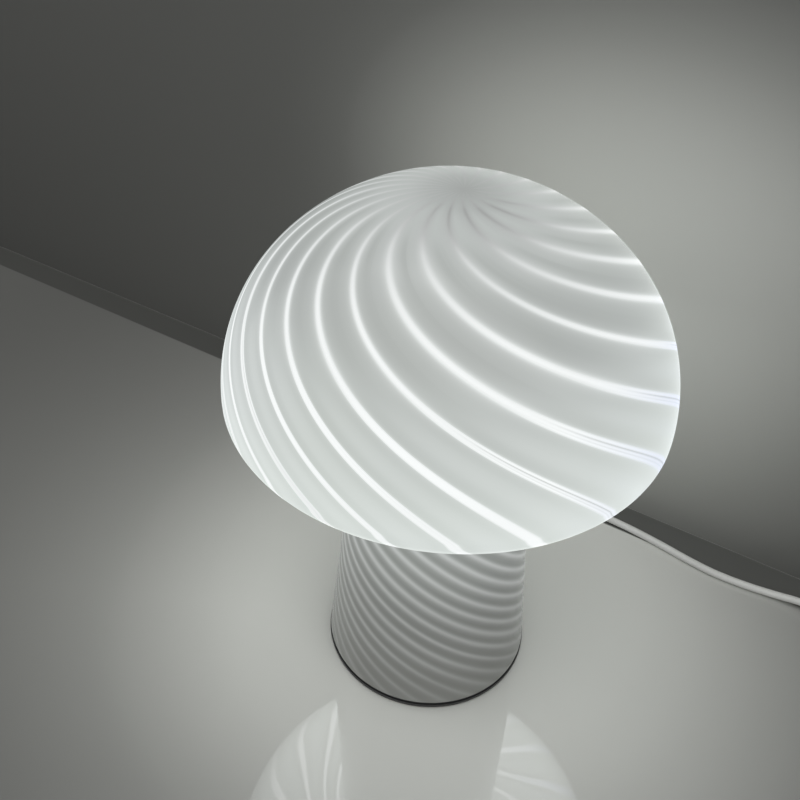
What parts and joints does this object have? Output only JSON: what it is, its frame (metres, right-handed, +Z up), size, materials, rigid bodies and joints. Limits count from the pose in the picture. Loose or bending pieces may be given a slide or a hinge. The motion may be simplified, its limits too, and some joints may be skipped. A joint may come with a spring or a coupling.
{
  "type": "mushroom table lamp",
  "caption": "Mushroom table lamp: a swirled opal glass cap and stem lifts off a weighted base with an LED head on a post, and a USB cord carries an in-line key control.",
  "frame": {"origin": "on the table under the lamp's axis", "axes": "+Z up along the lamp's axis, +Y towards the back, where the cord leaves, +X to the right seen from the front"},
  "size_m": [0.4003, 0.2013, 0.2395],
  "materials": {
    "opal_glass": "polished opal glass with spiral stripes",
    "black_plastic": "matt",
    "pad_foam": "fine-grained foam",
    "gasket_rubber": "smooth",
    "cast_iron": "as cast",
    "plated_steel": "zinc-plated",
    "spring_steel": "satin",
    "aluminium": "satin",
    "board_white": "solder mask",
    "board_green": "solder mask",
    "led_cool": "lit, cool white",
    "led_warm": "yellow phosphor",
    "ceramic": "matt",
    "wire_red": "insulation",
    "wire_white": "insulation",
    "wire_black": "insulation",
    "cord_white": "smooth PVC",
    "white_plastic": "satin",
    "key_grey": "matt",
    "tie_black": "hook-and-loop band",
    "contact_gold": "plated"
  },
  "bodies": {
    "base": {"base_dish": "black_plastic", "foot_pad": "pad_foam", "glass_gasket": "gasket_rubber", "base_weight": "cast_iron", "base_lid": "plated_steel", "lid_screws": "plated_steel", "leaf_spring_1": "spring_steel", "leaf_spring_2": "spring_steel", "leaf_spring_3": "spring_steel", "spring_rivets": "plated_steel", "lamp_post": "plated_steel", "lower_nut": "plated_steel", "post_washer": "plated_steel", "upper_nut": "plated_steel", "lock_nut": "plated_steel", "heat_sink": "aluminium", "led_board": "board_white", "cool_leds": "led_cool", "warm_leds": "led_warm", "board_resistors": "ceramic", "board_screws": "plated_steel", "warm_wire": "wire_red", "cool_wire": "wire_white", "common_wire": "wire_black", "strain_relief": "cord_white", "cord_stub": "cord_white", "cord_saddle": "plated_steel", "saddle_screws": "plated_steel", "power_cord": "cord_white", "control_lower_shell": "white_plastic", "control_upper_shell": "white_plastic", "control_screws": "plated_steel", "control_board": "board_green", "tact_switches": "ceramic", "inlet_sleeve": "cord_white", "outlet_sleeve": "cord_white", "cord_coil": "cord_white", "coil_tie": "tie_black", "plug_grip": "white_plastic", "plug_shell": "plated_steel", "plug_tongue": "board_white", "plug_contacts": "contact_gold"},
    "glass": {"glass_body": "opal_glass"},
    "power_button": {"power_key": "key_grey"},
    "dimmer_button": {"dimmer_key": "key_grey"}
  },
  "joints": [
    {"name": "glass_lift", "type": "slide", "parent": "base", "child": "glass", "axis": [0, 0, 1], "range_m": [0, 0.135]},
    {"name": "power_press", "type": "slide", "parent": "base", "child": "power_button", "axis": [0, 0, -1], "range_m": [0, 0.0006], "stiffness_N_per_m": 1500},
    {"name": "dimmer_press", "type": "slide", "parent": "base", "child": "dimmer_button", "axis": [0, 0, -1], "range_m": [0, 0.0006], "stiffness_N_per_m": 1500}
  ]
}
